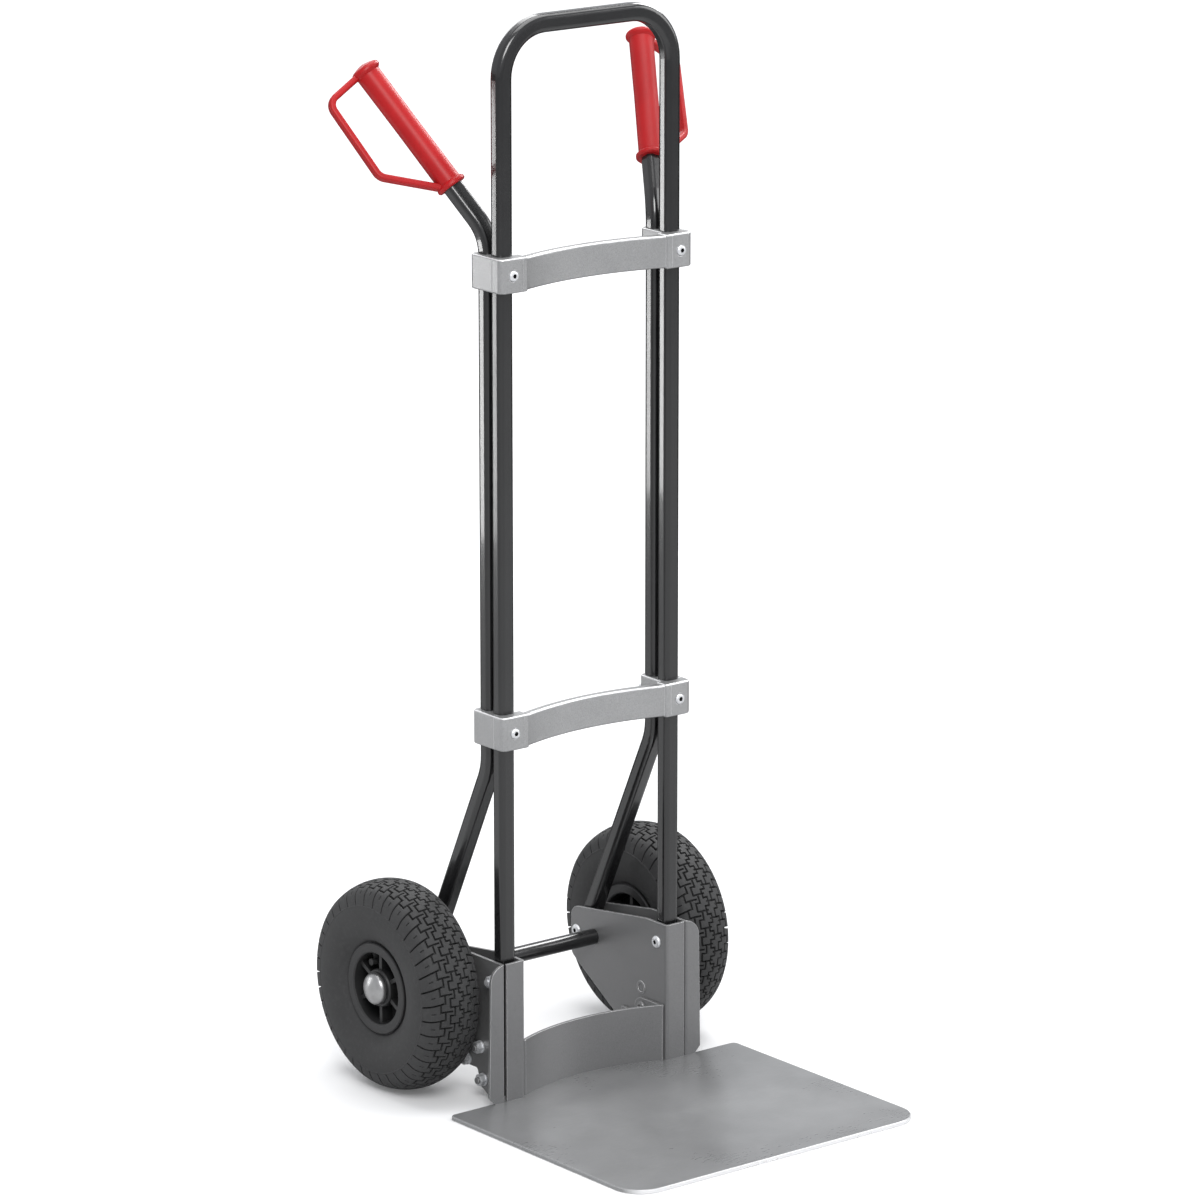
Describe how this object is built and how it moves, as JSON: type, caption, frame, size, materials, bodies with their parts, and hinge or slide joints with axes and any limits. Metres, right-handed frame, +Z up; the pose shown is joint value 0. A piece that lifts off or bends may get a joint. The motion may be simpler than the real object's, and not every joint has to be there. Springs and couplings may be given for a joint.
{
  "type": "hand truck",
  "caption": "Upright hand truck with a looped tube frame, guarded angled grips, bowed cast crossbars, a flat toe plate and pneumatic wheels on a fixed axle.",
  "frame": {"origin": "on the floor under the middle of the whole truck", "axes": "+Z up, +X across the truck, -Y towards the load side where the toe plate points"},
  "size_m": [0.526, 0.6248, 1.32],
  "materials": {
    "black_powder_coat": "gloss black powder coat",
    "red_grip": "satin moulded red plastic",
    "cast_silver": "fine-grained die casting",
    "toe_steel": "brushed sheet",
    "grey_plate": "satin grey sheet with bright cut edges",
    "polished_cap": "bright domed cap",
    "zinc_hardware": "bright zinc plated",
    "tyre_rubber": "matte tyre rubber",
    "tube_rubber": "black butyl rubber",
    "rim_plastic": "dark grey moulded plastic",
    "bearing_plastic": "pale bearing plastic"
  },
  "bodies": {
    "frame": {"front_tube": "black_powder_coat", "rear_tube_right": "black_powder_coat", "rear_tube_left": "black_powder_coat", "grip_right": "red_grip", "grip_left": "red_grip", "upper_crossbar": "cast_silver", "upper_clamp_cap_right": "cast_silver", "upper_clamp_cap_left": "cast_silver", "lower_crossbar": "cast_silver", "lower_clamp_cap_right": "cast_silver", "lower_clamp_cap_left": "cast_silver", "clamp_bolts": "zinc_hardware", "clamp_washers": "zinc_hardware", "clamp_nuts": "zinc_hardware", "inner_side_plate_right": "grey_plate", "inner_side_plate_left": "grey_plate", "outer_side_plate_right": "grey_plate", "outer_side_plate_left": "grey_plate", "side_plate_screws": "zinc_hardware", "brace_bolts": "zinc_hardware", "side_plate_washers": "zinc_hardware", "side_plate_nuts": "zinc_hardware", "side_plate_spacers": "zinc_hardware", "toe_plate": "toe_steel", "back_plate": "grey_plate", "corner_brace_right": "grey_plate", "corner_brace_left": "grey_plate", "axle_shaft": "black_powder_coat", "axle_plate_spacers": "zinc_hardware", "axle_hub_spacers": "zinc_hardware", "axle_washers": "zinc_hardware", "axle_cap_right": "polished_cap", "axle_cap_left": "polished_cap"},
    "wheel_left": {"tyre_left": "tyre_rubber", "inner_tube_left": "tube_rubber", "rim_outer_left": "rim_plastic", "rim_inner_left": "rim_plastic", "rim_screws_left": "zinc_hardware", "hub_bearings_left": "bearing_plastic", "valve_left": "tube_rubber"},
    "wheel_right": {"tyre_right": "tyre_rubber", "inner_tube_right": "tube_rubber", "rim_outer_right": "rim_plastic", "rim_inner_right": "rim_plastic", "rim_screws_right": "zinc_hardware", "hub_bearings_right": "bearing_plastic", "valve_right": "tube_rubber"}
  },
  "joints": [
    {"name": "wheel_left_spin", "type": "hinge", "parent": "frame", "child": "wheel_left", "pos_m": [-0.1952, 0.18245, 0.13], "axis": [1, 0, 0], "continuous": true},
    {"name": "wheel_right_spin", "type": "hinge", "parent": "frame", "child": "wheel_right", "pos_m": [0.1952, 0.18245, 0.13], "axis": [1, 0, 0], "continuous": true}
  ]
}
